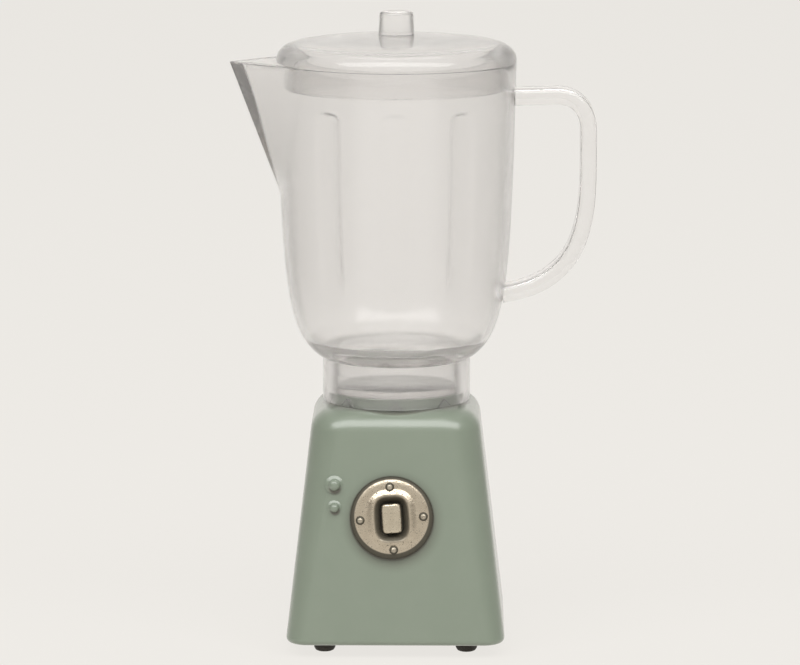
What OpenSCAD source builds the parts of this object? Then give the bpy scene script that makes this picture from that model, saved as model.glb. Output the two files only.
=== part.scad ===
// Toy blender of doll's-house scale, in millimetres.
// The origin is on the upright axis of base and jug, in the plane that the feet stand on.
// +Z is up, the switch faces -Y, the spout points along -X and the handle along +X.

/* [Base housing] */
// Width of the base across its bottom edge
base_w = 29; // [27:0.1:31]
// Width of the base across its deck, before the shoulder is rounded
deck_w = 21.8; // [21.4:0.1:22.6]
// Height of the deck above the floor
deck_z = 32.3; // [31:0.1:34]
// Height of the bottom edge above the floor
edge_z = 1.7; // [1.6:0.1:2.2]
// Plan radius of the upright corners at the bottom
corner_r = 3; // [2.6:0.1:3.4]
// Plan radius of the upright corners at the deck
deck_corner_r = 5; // [4.4:0.1:5.6]
// Rounding of the shoulder round the deck
shoulder_r = 3; // [2.4:0.1:3.2]
// Rounding of the bottom edge
edge_r = 0.7; // [0.5:0.1:0.9]
// Thickness of the housing wall
wall = 1.2; // [1:0.1:1.3]

/* [Base plate and feet] */
// Thickness of the plate that closes the base
plate_t = 1.2; // [1:0.1:1.4]
// Distance of a foot's middle from the sides of the base
foot_inset = 5.1; // [4.7:0.1:5.5]
// Diameter of a foot
foot_d = 3; // [2.8:0.1:3.4]
// Diameter of the flat that a foot stands on
foot_flat_d = 1.4; // [1:0.1:1.6]
// Distance of a plate screw from the side of the base
screw_inset = 3.9; // [3.7:0.1:4.1]

/* [Switch] */
// Height of the switch centre above the floor
switch_z = 18.6; // [17.5:0.1:19.5]
// Place of the switch centre across the face
switch_x = -0.45; // [-0.8:0.05:0]
// Turn of the plate, its rivets and its button on the face
switch_turn = 3.7; // [0:0.1:6]
// Diameter of the switch plate
switch_d = 10.85; // [10.6:0.05:11.2]
// Thickness of the switch plate
switch_t = 1.05; // [0.9:0.05:1.2]
// Width of the hollow inside the plate's lip
opening_w = 4.2; // [4:0.1:4.4]
// Height of the hollow inside the plate's lip
opening_h = 5.5; // [5.3:0.1:5.7]
// Width of the button
button_w = 2.55; // [2.4:0.05:2.8]
// Height of the button
button_h = 3.87; // [3.6:0.05:4]
// How far the button is pushed in
button_travel = 0.7; // [0.5:0.1:0.8]
// Diameter of the circle that the rivets lie on
rivet_pcd = 8.3; // [8.2:0.1:8.5]
// Diameter of a rivet head
rivet_d = 1.15; // [1:0.05:1.25]

/* [Studs] */
// Distance of the two studs from the face's left edge, at the upper stud
stud_inset = 4; // [3.8:0.1:4.4]
// Height of the upper stud
upper_stud_z = 22.9; // [22.5:0.1:23.5]
// Height of the lower stud
lower_stud_z = 19.9; // [19.4:0.1:20.2]
// Diameter of the upper stud's pad
upper_stud_d = 2.2; // [2:0.1:2.4]
// Diameter of the lower stud's pad
lower_stud_d = 1.75; // [1.6:0.05:2]

/* [Jug] */
// Height of the jug rim above the floor
rim_z = 77.5; // [74:0.5:80]
// Outer radius at the rim
rim_r = 15.87; // [15.5:0.01:16.2]
// Thickness of the jug wall
jug_wall = 1; // [0.9:0.05:1.1]
// Height at which the collar meets the bowl
bowl_z = 38.1; // [38:0.1:38.6]
// Outer radius of the collar
collar_r = 9.8; // [9.7:0.05:10]
// Thickness of the jug floor
floor_t = 1.6; // [1.4:0.1:1.8]
// How far the spout tip stands from the jug axis
spout_reach = 22.05; // [20.5:0.05:22.5]
// Height at which the spout ridge leaves the wall
spout_root_z = 60; // [58:0.5:62]
// Angle between two neighbouring inner ribs
rib_pitch = 36; // [34:1:38]
// Width of an inner rib at the wall
rib_w = 4.2; // [3.8:0.1:4.6]
// How far an inner rib stands in from the wall
rib_t = 0.45; // [0.35:0.05:0.55]
// Number of gripping lugs in the collar
lug_count = 8; // [6:1:10]

/* [Jug handle] */
// How far the back of the handle stands from the jug axis
handle_reach = 26.46; // [25.6:0.02:27.4]
// Distance from the jug rim down to the middle of the handle's top bar
handle_drop = 4.6; // [4.2:0.1:5.4]
// Height from the handle's lower root to its upper root
handle_span = 26.3; // [25:0.1:27.5]
// Thickness of the handle bar
handle_t = 2.12; // [1.9:0.02:2.3]
// Depth of the handle bar, front to back
handle_w = 5; // [4.4:0.1:5.4]

/* [Jug seat] */
// Height of the seat's disc above the deck
seat_h = 1.43; // [1.35:0.01:1.5]
// Radius of the seat's disc
seat_r = 8.4; // [8.2:0.05:8.5]

/* [Lid] */
// Height of the lid crown above the jug rim
crown_h = 3.4; // [3.2:0.1:3.8]
// Radius of the rolled edge of the lid
roll_r = 1.6; // [1.4:0.1:1.8]
// Depth of the plug skirt below the rim
skirt_h = 3.5; // [3:0.1:3.8]
// Diameter of the knob at its foot
knob_d = 4.74; // [4.4:0.02:5]
// Height of the knob above the lid crown
knob_h = 3.2; // [2.8:0.1:3.6]

/* [Hidden] */
$fn = 64;
eps = 0.01;                 // lets a cut run past the face it opens
seat_gap = 0.03;            // clearance between pieces that are fixed face to face
slip_gap = 0.15;            // clearance of a piece that drops or slides in its place

paint = [0.55, 0.6, 0.53];
nickel = [0.66, 0.61, 0.52];
black = [0.2, 0.19, 0.17];
steel = [0.7, 0.7, 0.7];
clear = [0.88, 0.86, 0.84, 0.45];

// ---- the housing's taper ----
face_slope = (base_w - deck_w) / 2 / (deck_z - edge_z);
face_tilt = atan(face_slope);
function half_w(z) = base_w / 2 - face_slope * (z - edge_z);
function inner_half_w(z) = half_w(z) - wall;

// A corner post's end: a rounded disc whose rim reaches radius r and has edge rounding e.
module post_end(r, e) {
    rotate_extrude($fn = 32)
        intersection() {
            translate([r - e, 0])
                circle(e, $fn = 32);
            translate([0, -e])
                square([r, 2 * e]);
        }
}

// Square tapered block between two heights, with rounded corners and edges.
// inset shrinks it evenly on all sides for the hollow inside.
module tapered_block(z0, z1, r0, r1, e0, e1, inset) {
    low = z0 + e0;
    high = z1 - e1;
    hull() {
        for (sx = [-1, 1], sy = [-1, 1]) {
            translate([sx * (half_w(low) - inset - r0), sy * (half_w(low) - inset - r0), low])
                post_end(r0, e0);
            translate([sx * (half_w(high) - inset - r1), sy * (half_w(high) - inset - r1), high])
                post_end(r1, e1);
        }
    }
}

// Puts its children on the sloping front face: local Z points out of the face, local Y up it.
module on_front(x, z) {
    translate([x, -half_w(z), z])
        rotate([90 - face_tilt, 0, 0])
            children();
}

module on_switch() {
    on_front(switch_x, switch_z)
        rotate([0, 0, switch_turn])
            children();
}

module rounded_rect(w, h, r) {
    square([w - 2 * r, h], center = true);
    square([w, h - 2 * r], center = true);
    for (sx = [-1, 1], sy = [-1, 1])
        translate([sx * (w / 2 - r), sy * (h / 2 - r)])
            circle(r);
}

// A screw with a domed head at the origin and its shank along +Z.
module screw(head_d, head_h, shank_d, length) {
    difference() {
        union() {
            translate([0, 0, -head_h])
                cylinder(d1 = head_d * 0.7, d2 = head_d, h = head_h);
            cylinder(d = shank_d, h = length);
        }
        for (turn = [0, 90])
            rotate([0, 0, turn])
                translate([-head_d * 0.35, -0.1, -head_h - eps])
                    cube([head_d * 0.7, 0.2, head_h * 0.5]);
    }
}

// ---- base ----
plate_z = edge_z + 0.3;                     // underside of the base plate
plate_top_z = plate_z + plate_t;
foot_at = base_w / 2 - foot_inset;          // along X and along Y
foot_stem_d = 1.2;
screw_at = base_w / 2 - screw_inset;
plate_screw_d = 1.2;
plate_screw_head_d = 2.2;
plate_screw_head_h = 0.8;
boss_d = plate_screw_d + 2.2;
boss_h = 7;
boss_top_z = plate_top_z + boss_h;
web_w = 1.2;
web_reach = inner_half_w(plate_top_z) + eps - screw_at;
through = 2.5 * wall;                       // a cut this long goes right through the wall
recess = 0.2;                               // depth of the flat seats cut in the front face
guide_d = 7.2;
rivet_shank_d = 0.6;
stud_shank_d = 0.8;
stud_x = stud_inset - half_w(upper_stud_z);

module base_housing() {
    color(paint)
    difference() {
        union() {
            difference() {
                tapered_block(edge_z, deck_z, corner_r, deck_corner_r, edge_r, shoulder_r, 0);
                tapered_block(edge_z - 2, deck_z - wall, corner_r - wall, deck_corner_r - wall,
                              edge_r / 2, shoulder_r - wall, wall);
            }
            for (side = [-1, 1])
                translate([side * screw_at, 0, plate_top_z + seat_gap])
                    plate_boss(side);
        }
        for (side = [-1, 1])
            translate([side * screw_at, 0, edge_z])
                cylinder(d = plate_screw_d + 2 * seat_gap, h = boss_top_z - edge_z - 1);
        on_switch()
            translate([0, 0, -recess])
                cylinder(d = switch_d + 0.1, h = through);
        on_switch()
            translate([0, 0, -through])
                cylinder(d = guide_d + 2 * seat_gap, h = 2 * through);
        for (a = [0 : 90 : 270])
            on_switch()
                rotate([0, 0, a])
                    translate([0, rivet_pcd / 2, -through])
                        cylinder(d = rivet_shank_d + 2 * seat_gap, h = 2 * through);
        stud_seat(upper_stud_z, upper_stud_d);
        stud_seat(lower_stud_z, lower_stud_d);
        translate([0, 0, deck_z - through])
            cylinder(d = seat_stem_d + 2 * seat_gap, h = 2 * through);
    }
}

// A screw boss, joined to the side wall by a short web.
module plate_boss(side) {
    cylinder(d = boss_d, h = boss_h);
    translate([side > 0 ? 0 : -web_reach, -web_w / 2, 0])
        cube([web_reach, web_w, boss_h]);
}

// The flat seat and the shank hole of a stud.
module stud_seat(z, d) {
    on_front(stud_x, z) {
        translate([0, 0, -recess])
            cylinder(d = d + 0.1, h = through);
        translate([0, 0, -through])
            cylinder(d = stud_shank_d + 2 * seat_gap, h = 2 * through);
    }
}

plate_w = 2 * (inner_half_w(plate_top_z) - slip_gap);

module base_plate() {
    color(black)
    difference() {
        translate([0, 0, plate_z])
            linear_extrude(plate_t)
                rounded_rect(plate_w, plate_w, corner_r - wall);
        for (sx = [-1, 1], sy = [-1, 1])
            translate([sx * foot_at, sy * foot_at, 0])
                cylinder(d = foot_stem_d + 2 * seat_gap, h = 2 * plate_top_z);
        for (side = [-1, 1])
            translate([side * screw_at, 0, 0])
                cylinder(d = plate_screw_d + 2 * seat_gap, h = 2 * plate_top_z);
    }
}

module base_plate_screws() {
    color(steel)
    for (side = [-1, 1])
        translate([side * screw_at, 0, plate_z - seat_gap])
            screw(plate_screw_head_d, plate_screw_head_h, plate_screw_d, boss_h);
}

foot_shoulder_z = 1.2;      // where the round of the foot turns into its upright side
stem_grip_d = 1.9;          // the bulb that holds the foot's stem behind the plate

function foot_round(a) = [
    foot_flat_d / 2 + (foot_d - foot_flat_d) / 2 * sin(a),
    foot_shoulder_z * (1 - cos(a))
];

module foot(sx, sy) {
    color(black)
    translate([sx * foot_at, sy * foot_at, 0])
        rotate_extrude()
            polygon([
                [0, 0],
                for (a = [0 : 15 : 90]) foot_round(a),
                [foot_d / 2, plate_z - seat_gap],
                [foot_stem_d / 2, plate_z - seat_gap],
                [foot_stem_d / 2, plate_top_z + seat_gap],
                [stem_grip_d / 2, plate_top_z + seat_gap],
                [stem_grip_d / 2, plate_top_z + 0.4],
                [foot_stem_d / 3, plate_top_z + 1.1],
                [0, plate_top_z + 1.1]
            ]);
}

// ---- seat of the jug ----
seat_rim_w = 1.2;                           // the raised edge round the seat's face
seat_step_h = 0.2;
seat_round = 0.25;
seat_screw_d = 1.6;
seat_screw_head_d = 4.2;
seat_screw_head_h = 1;
seat_stem_d = 3;                            // the stem goes down through a hole in the deck
seat_stem_h = wall - 0.1;
seat_screw_bite = 1.5;                      // how far the screw goes into the stem

module jug_seat() {
    color(paint)
    translate([0, 0, deck_z + seat_gap])
        difference() {
            rotate_extrude()
                polygon([
                    [0, -seat_stem_h],
                    [seat_stem_d / 2, -seat_stem_h],
                    [seat_stem_d / 2, 0],
                    [seat_r, 0],
                    [seat_r, seat_h - seat_round],
                    [seat_r - seat_round, seat_h],
                    [seat_r - seat_rim_w, seat_h],
                    [seat_r - seat_rim_w, seat_h - seat_step_h],
                    [0, seat_h - seat_step_h]
                ]);
            translate([0, 0, -seat_stem_h - eps])
                cylinder(d = seat_screw_d + 2 * seat_gap, h = seat_screw_bite + 0.1);
        }
}

module seat_screw() {
    color(steel)
    translate([0, 0, deck_z - wall - seat_gap])
        screw(seat_screw_head_d, seat_screw_head_h, seat_screw_d,
              wall - seat_stem_h + seat_screw_bite);
}

// ---- switch ----
lip_w = 0.95;
lip_h = 0.4;
opening_r = 1.2;
plate_bevel = 0.55;
guide_wall = 0.5;
flange_d = guide_d - 2 * guide_wall - 1.6 * slip_gap;
flange_t = 0.7;
spring_packed = 2.3;        // length of the spring when it is pressed flat
guide_depth = guide_wall + spring_packed + button_travel + flange_t;
button_out = 0.5;           // how far the button stands out of the plate's face
button_crest = 0.15;        // height of the small step round the button's face
plate_face = switch_t - recess;

module lip_step(grow, h) {
    linear_extrude(h)
        rounded_rect(opening_w + 2 * grow, opening_h + 2 * grow, opening_r + grow);
}

// The hollow inside the lip slopes in to a slot that is a little wider than the button.
slot_gap = 0.22;
slot_r = 0.4;
slot_z = 0.15;                              // height above the housing where the slope starts
module button_slot(gap) {
    rounded_rect(button_w + 2 * gap, button_h + 2 * gap, slot_r + gap);
}

module plate_hollow() {
    hull() {
        translate([0, 0, slot_z])
            linear_extrude(eps)
                button_slot(slot_gap + eps);
        translate([0, 0, plate_face + lip_h])
            linear_extrude(eps)
                rounded_rect(opening_w, opening_h, opening_r);
    }
    translate([0, 0, -1])
        linear_extrude(slot_z + 1.2)
            button_slot(slot_gap);
}

module switch_plate() {
    color(nickel)
    on_switch()
        difference() {
            union() {
                translate([0, 0, -recess + seat_gap])
                    rotate_extrude()
                        polygon([
                            [0, 0],
                            [switch_d / 2, 0],
                            [switch_d / 2, 0.35],
                            for (a = [0 : 15 : 90]) [
                                switch_d / 2 - plate_bevel * (1 - cos(a)),
                                switch_t - seat_gap - plate_bevel * (1 - sin(a))
                            ],
                            [0, switch_t - seat_gap]
                        ]);
                translate([0, 0, plate_face - eps]) {
                    lip_step(lip_w, lip_h * 0.45);
                    lip_step(lip_w * 0.8, lip_h * 0.8);
                    lip_step(lip_w * 0.55, lip_h);
                }
            }
            plate_hollow();
            for (a = [0 : 90 : 270])
                rotate([0, 0, a])
                    translate([0, rivet_pcd / 2, -1])
                        cylinder(d = rivet_shank_d + 2 * seat_gap, h = 4);
        }
}

rivet_h = 0.45;
rivet_tail = 0.7;                           // how far the shank stands out behind the wall

module plate_rivets() {
    head_r = rivet_d / 2;
    color(nickel)
    for (a = [0 : 90 : 270])
        on_switch()
            rotate([0, 0, a])
                translate([0, rivet_pcd / 2, 0])
                    rotate_extrude($fn = 32)
                        polygon([
                            [0, -wall - rivet_tail],
                            [rivet_shank_d / 2, -wall - rivet_tail],
                            [rivet_shank_d / 2, plate_face + seat_gap],
                            for (b = [0 : 18 : 90]) [
                                head_r * cos(b),
                                plate_face + seat_gap + rivet_h * sin(b)
                            ]
                        ]);
}

// The button: an oblong pad on a round flange, which the plate keeps from coming out.
module switch_button() {
    color(nickel)
    on_switch() {
        translate([0, 0, -recess - flange_t])
            cylinder(d = flange_d, h = flange_t);
        translate([0, 0, -recess - eps])
            linear_extrude(plate_face + recess + button_out - button_crest)
                rounded_rect(button_w, button_h, 0.35);
        translate([0, 0, plate_face + button_out - button_crest - eps])
            linear_extrude(button_crest)
                rounded_rect(button_w - 2 * button_crest, button_h - 2 * button_crest, 0.3);
    }
}

guide_floor = -recess - guide_depth;

module button_guide() {
    color(black)
    on_switch()
        difference() {
            translate([0, 0, guide_floor])
                cylinder(d = guide_d, h = guide_depth);
            translate([0, 0, guide_floor + guide_wall])
                cylinder(d = guide_d - 2 * guide_wall, h = guide_depth);
        }
}

spring_wire = 0.35;
spring_r = 1.9;
spring_turns = 4;
spring_low = guide_floor + guide_wall + seat_gap;
spring_high = -recess - flange_t - seat_gap;

module button_spring() {
    color(steel)
    on_switch()
        translate([0, 0, spring_low])
            linear_extrude(spring_high - spring_low, twist = -360 * spring_turns,
                           slices = 64, segments = 4)
                translate([spring_r, 0])
                    square([spring_wire, 3 * spring_wire], center = true);
}

// ---- studs ----
stud_pad_h = 0.35;
stud_tail = 1;                              // how far the shank stands out behind the wall
clip_d = stud_shank_d + 0.8;
clip_t = 0.4;
clip_gap = 0.3;                             // keeps the clip off the round of the inner corner

module stud(z, d) {
    dome_r = d * 0.36;
    color(paint)
    on_front(stud_x, z)
        rotate_extrude($fn = 32)
            polygon([
                [0, -wall - stud_tail],
                [stud_shank_d / 2, -wall - stud_tail],
                [stud_shank_d / 2, -recess + seat_gap],
                [d / 2, -recess + seat_gap],
                [d / 2, stud_pad_h * 0.4],
                [d / 2 - 0.15, stud_pad_h],
                for (b = [0 : 15 : 90]) [
                    dome_r * cos(b),
                    stud_pad_h + dome_r * 0.85 * sin(b)
                ]
            ]);
}

module stud_clips() {
    color(steel)
    for (z = [upper_stud_z, lower_stud_z])
        on_front(stud_x, z)
            translate([0, 0, -wall - clip_gap - clip_t])
                difference() {
                    cylinder(d = clip_d, h = clip_t);
                    translate([0, 0, -eps])
                        cylinder(d = stud_shank_d + 2 * seat_gap, h = 2 * clip_t);
                }
}

// ---- jug ----
collar_z = deck_z + 0.1;                    // lower edge of the collar
floor_z = bowl_z + 0.3;                     // underside of the jug floor
mouth_r = rim_r - jug_wall;

function bezier(p, t) =
    pow(1 - t, 3) * p[0] + 3 * pow(1 - t, 2) * t * p[1]
    + 3 * (1 - t) * t * t * p[2] + pow(t, 3) * p[3];

// The jug's side, from the collar round the bowl to the rim, as radius and height.
// inset gives the same curve further in, for the inner face and the ribs.
bowl_swell = 5.2;
bowl_swell_h = 3;
side_lean = 0.65;
side_start_h = 11.1;
bowl_bulge = [collar_r + bowl_swell, bowl_z + bowl_swell_h];
side_pull = [rim_r - side_lean, bowl_z + side_start_h];
function jug_side(inset) = [
    for (t = [0 : 0.0625 : 1])
        bezier([[collar_r, bowl_z], bowl_bulge, side_pull, [rim_r, rim_z]], t) - [inset, 0]
];
function above(points, z) = [for (p = points) if (p[1] > z) p];
function radius_at(points, z) = lookup(z, [for (p = points) [p[1], p[0]]]);
function reversed(points) = [for (i = [len(points) - 1 : -1 : 0]) points[i]];

collar_bevel = 0.2;
module jug_outside() {
    rotate_extrude()
        polygon(concat(
            [
                [0, collar_z],
                [collar_r - collar_bevel, collar_z],
                [collar_r, collar_z + collar_bevel]
            ],
            jug_side(0),
            [[0, rim_z]]
        ));
}

floor_bevel = 0.8;                          // in the corner between floor and bowl
module jug_inside() {
    inner = jug_side(jug_wall);
    floor_top = floor_z + floor_t;
    bevel_z = floor_top + floor_bevel;
    rotate_extrude()
        polygon(concat(
            [[0, floor_top], [radius_at(inner, bevel_z) - floor_bevel, floor_top]],
            above(inner, bevel_z),
            [[mouth_r, rim_z + 1], [0, rim_z + 1]]
        ));
}

// The hollow of the collar. Its first shelf rests on the seat, and the bore above that
// shelf takes the disc that closes the collar. Each step above is a little narrower and
// shows as a line through the clear plastic.
socket_r = seat_r + 0.5;
shelf_z = deck_z + seat_h + 2 * seat_gap;
disc_bore_r = socket_r - 0.9;
disc_bore_h = 0.9;
socket_step = 0.15;                         // how much narrower each step above the disc is
socket_step_h = 2.4;                        // from the shelf to the last step
module collar_socket() {
    translate([0, 0, collar_z - 1])
        cylinder(r = socket_r, h = shelf_z - collar_z + 1);
    translate([0, 0, collar_z])
        cylinder(r = disc_bore_r, h = shelf_z - collar_z + disc_bore_h);
    translate([0, 0, collar_z])
        cylinder(r = disc_bore_r - socket_step, h = shelf_z - collar_z + socket_step_h);
    translate([0, 0, collar_z])
        cylinder(r = disc_bore_r - 2 * socket_step, h = floor_z - collar_z);
}

// The disc that is cemented in the collar and stands on the seat.
module collar_disc() {
    color(clear)
    translate([0, 0, shelf_z])
        cylinder(r = disc_bore_r - seat_gap, h = disc_bore_h - seat_gap);
}

// Small three-cornered lugs that grip the seat's edge.
lug_gap = 0.05;
lug_w = 2;
lug_h = 0.95;
module collar_lugs() {
    for (i = [0 : lug_count - 1])
        rotate([0, 0, 360 / lug_count * i + 90])
            translate([seat_r + lug_gap, 0, collar_z + 0.1])
                rotate([90, 0, 90])
                    linear_extrude(socket_r - seat_r)
                        polygon([[-lug_w / 2, 0], [lug_w / 2, 0], [0, lug_h]]);
}

// Outline of the spout across its ridge: a V with a rounded nose at the origin.
spout_root_r = radius_at(jug_side(0), spout_root_z);
spout_lean = atan((spout_reach - spout_root_r) / (rim_z - spout_root_z));
spout_half_angle = 47;
spout_depth = 8;                            // from the ridge to well inside the jug
module spout_outline(nose_r, length) {
    centre = nose_r;
    tangent = 90 - spout_half_angle;
    polygon([
        for (a = [-tangent : tangent / 3 : tangent])
            [centre - nose_r * cos(a), nose_r * sin(a)],
        [length, nose_r * sin(tangent) + (length - centre) * tan(spout_half_angle)],
        [length, -nose_r * sin(tangent) - (length - centre) * tan(spout_half_angle)]
    ]);
}

// Prism of that outline along the leaning ridge, from below its root to above the rim.
module spout_prism(nose_r, length, inset, low) {
    translate([-spout_root_r, 0, spout_root_z])
        rotate([0, -spout_lean, 0])
            translate([inset, 0, low])
                linear_extrude(rim_z - spout_root_z + spout_depth)
                    spout_outline(nose_r, length);
}

spout_nose = 0.5;
spout_band = 1.5;                           // thickness of the solid band along the ridge
module jug() {
    color(clear)
    union() {
        difference() {
            union() {
                jug_outside();
                intersection() {
                    spout_prism(spout_nose, spout_depth, 0, -2);
                    cylinder(r = 2 * spout_reach, h = rim_z);
                }
            }
            jug_inside();
            spout_prism(spout_nose, 1.5 * spout_depth, spout_band, -1);
            collar_socket();
        }
        jug_ribs();
        collar_lugs();
    }
}

// Six upright ribs on the inner wall: three face the front and three the back, and none is
// near the spout or the handle. Each is a straight bar that leans with the wall, with a flat
// face and sloping flanks. The bowl swallows its lower end, and it stops below the rim.
rib_margin = 5;
rib_face_w = 1.3;
rib_top_z = rim_z - rib_margin;
rib_low_z = bowl_z + rib_margin;
rib_mid_z = (rib_top_z + rib_low_z) / 2;
rib_root_r = radius_at(jug_side(jug_wall), rib_top_z);
rib_mid_r = radius_at(jug_side(jug_wall), rib_mid_z);
rib_lean = atan((rib_root_r - rib_mid_r) / (rib_top_z - rib_mid_z));
rib_arc = rib_root_r - sqrt(rib_root_r * rib_root_r - rib_w * rib_w / 4);
module rib_outline() {
    polygon([
        [-rib_t, -rib_face_w / 2],
        [-rib_arc, -rib_w / 2],
        [jug_wall, -rib_w / 2],
        [jug_wall, rib_w / 2],
        [-rib_arc, rib_w / 2],
        [-rib_t, rib_face_w / 2]
    ]);
}

module jug_ribs() {
    intersection() {
        rotate_extrude()
            polygon(concat([[0, bowl_z]], jug_side(jug_wall / 2), [[0, rim_z]]));
        for (facing = [90, 270], a = [-rib_pitch, 0, rib_pitch])
            rotate([0, 0, facing + a])
                translate([rib_root_r, 0, rib_top_z])
                    rotate([0, rib_lean, 0])
                        translate([0, 0, rib_low_z - rib_top_z])
                            linear_extrude(rib_top_z - rib_low_z)
                                rib_outline();
    }
}

// ---- handle ----
handle_top_z = rim_z - handle_drop;
handle_bend_h = 4.5;                        // height and width of the upper bend
handle_bend_w = 4.8;
handle_sag = 10.1;                          // how far the back runs down before it curves in
handle_back = [handle_reach - handle_t / 2, handle_top_z - handle_bend_h];
handle_corner = [handle_back[0] - handle_bend_w, handle_top_z + 0.15];
handle_root = [rim_r - 1.87, handle_top_z - handle_span];
handle_belly = [handle_reach - 0.16, handle_root[1] + 1.9];
handle_path = concat(
    [[rim_r - 1, handle_top_z]],
    [for (t = [0 : 0.125 : 1])
        bezier([handle_corner, handle_corner + [0.6 * handle_bend_w, 0.2],
                handle_back + [-0.1, 0.75 * handle_bend_h], handle_back], t)],
    [for (t = [0.0625 : 0.0625 : 1])
        bezier([handle_back, handle_back - [0, handle_sag], handle_belly, handle_root], t)]
);

// The path moved sideways by d, to its left as it runs.
function heading(path, i) =
    let (a = path[max(i - 1, 0)], b = path[min(i + 1, len(path) - 1)]) (b - a) / norm(b - a);
function beside(path, d) = [
    for (i = [0 : len(path) - 1])
        let (h = heading(path, i)) path[i] + d * [-h[1], h[0]]
];

module jug_handle() {
    color(clear)
    difference() {
        translate([0, handle_w / 2, 0])
            rotate([90, 0, 0])
                linear_extrude(handle_w)
                    polygon(concat(beside(handle_path, handle_t / 2),
                                   reversed(beside(handle_path, -handle_t / 2))));
        jug_outside();
    }
}

// ---- lid ----
crown_z = rim_z + crown_h;
lid_wall = 1;
skirt_r = mouth_r - 0.2;
skirt_round = 0.5;
knob_flat_r = knob_d / 2 + 0.2;
knob_stem_r = knob_d / 2 - 0.25;
knob_stem_h = 1.45;                         // how deep the knob's plug goes down from the crown
dome_drop = 1;                              // from the crown to where the rolled edge begins
dome_edge = [rim_r - roll_r, crown_z - dome_drop];
function dome(t, drop) = [
    knob_flat_r + (dome_edge[0] - knob_flat_r) * t,
    crown_z - drop - dome_drop * t * t
];

module lid() {
    color(clear)
    difference() {
        rotate_extrude()
            polygon([
                [0, crown_z],
                [knob_flat_r, crown_z],
                for (t = [0.25 : 0.25 : 1]) dome(t, 0),
                for (a = [75 : -15 : 0])
                    [dome_edge[0] + roll_r * cos(a), dome_edge[1] - roll_r * (1 - sin(a))],
                [rim_r, rim_z + seat_gap],
                [skirt_r, rim_z + seat_gap],
                [skirt_r, rim_z - skirt_h + skirt_round],
                [skirt_r - skirt_round, rim_z - skirt_h],
                [skirt_r - lid_wall, rim_z - skirt_h],
                [skirt_r - lid_wall, dome_edge[1] - lid_wall - skirt_round],
                [skirt_r - lid_wall - skirt_round, dome_edge[1] - lid_wall],
                for (t = [0.75 : -0.25 : 0]) dome(t, lid_wall),
                [0, crown_z - lid_wall]
            ]);
        translate([0, 0, crown_z - 2 * lid_wall])
            cylinder(r = knob_stem_r + seat_gap, h = 3 * lid_wall);
    }
}

module lid_knob() {
    foot_r = knob_d / 2;
    top_r = foot_r - 0.17;
    round_r = 0.45;
    color(clear)
    translate([0, 0, crown_z + seat_gap])
        rotate_extrude()
            polygon([
                [0, -knob_stem_h],
                for (a = [0 : 15 : 90]) [
                    knob_stem_r - round_r * (1 - sin(a)),
                    -knob_stem_h + round_r * (1 - cos(a))
                ],
                [knob_stem_r, 0],
                [foot_r, 0],
                for (a = [0 : 15 : 90])
                    [top_r - round_r * (1 - cos(a)), knob_h - round_r * (1 - sin(a))],
                [0, knob_h]
            ]);
}

base_housing();
base_plate();
base_plate_screws();
foot(-1, -1);  // foot_front_left
foot(1, -1);  // foot_front_right
foot(-1, 1);  // foot_rear_left
foot(1, 1);  // foot_rear_right
jug_seat();
seat_screw();
switch_plate();
plate_rivets();
switch_button();
button_guide();
button_spring();
stud(upper_stud_z, upper_stud_d);  // upper_stud
stud(lower_stud_z, lower_stud_d);  // lower_stud
stud_clips();
jug();
collar_disc();
jug_handle();
lid();
lid_knob();
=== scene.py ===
import math

import bmesh
import bpy
from mathutils import Matrix, Vector


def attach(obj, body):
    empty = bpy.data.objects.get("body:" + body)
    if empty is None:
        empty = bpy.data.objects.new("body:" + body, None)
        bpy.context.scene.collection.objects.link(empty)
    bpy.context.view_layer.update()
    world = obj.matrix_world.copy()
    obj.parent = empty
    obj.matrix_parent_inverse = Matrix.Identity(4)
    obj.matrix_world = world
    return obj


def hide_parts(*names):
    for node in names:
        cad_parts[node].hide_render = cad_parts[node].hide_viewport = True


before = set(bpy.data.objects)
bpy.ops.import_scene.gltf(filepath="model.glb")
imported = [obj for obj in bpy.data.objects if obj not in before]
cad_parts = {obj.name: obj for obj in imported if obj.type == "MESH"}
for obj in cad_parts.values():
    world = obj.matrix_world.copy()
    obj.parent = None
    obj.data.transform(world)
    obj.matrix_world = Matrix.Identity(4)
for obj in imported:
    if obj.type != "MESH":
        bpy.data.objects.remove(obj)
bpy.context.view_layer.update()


# ---- Housing ----
# The body of the base: a hollow die casting with sloping sides, sprayed with sage green
# enamel. Everything else of the base is screwed, riveted or pushed into it.
MM = 0.001
HOUSING_EDGE_Z = 1.7
HOUSING_DECK_Z = 32.3
HOUSING_WALL = 1.2
FACE_TILT = math.atan((29.0 - 21.8) / 2 / (HOUSING_DECK_Z - HOUSING_EDGE_Z))
SWITCH_X, SWITCH_Z = -0.45, 18.6
SWITCH_TURN = math.radians(3.7)
STUD_X = -8.006
STUD_HIGH_Z, STUD_LOW_Z = 22.9, 19.9
RIVET_RING_R = 4.15
GREEN = (0.214, 0.252, 0.194, 1.0)


def half_width(z):
    """Half the width of the housing at height z, in millimetres."""
    return 14.5 - math.tan(FACE_TILT) * (z - HOUSING_EDGE_Z)


def on_front(x, z, turn=0.0):
    """The place on the sloping front face: local Z points out of it and local Y up it."""
    return (Matrix.Translation(Vector((x, -half_width(z), z)) * MM)
            @ Matrix.Rotation(math.pi / 2 - FACE_TILT, 4, "X")
            @ Matrix.Rotation(turn, 4, "Z"))


ON_SWITCH = on_front(SWITCH_X, SWITCH_Z, SWITCH_TURN)


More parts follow.
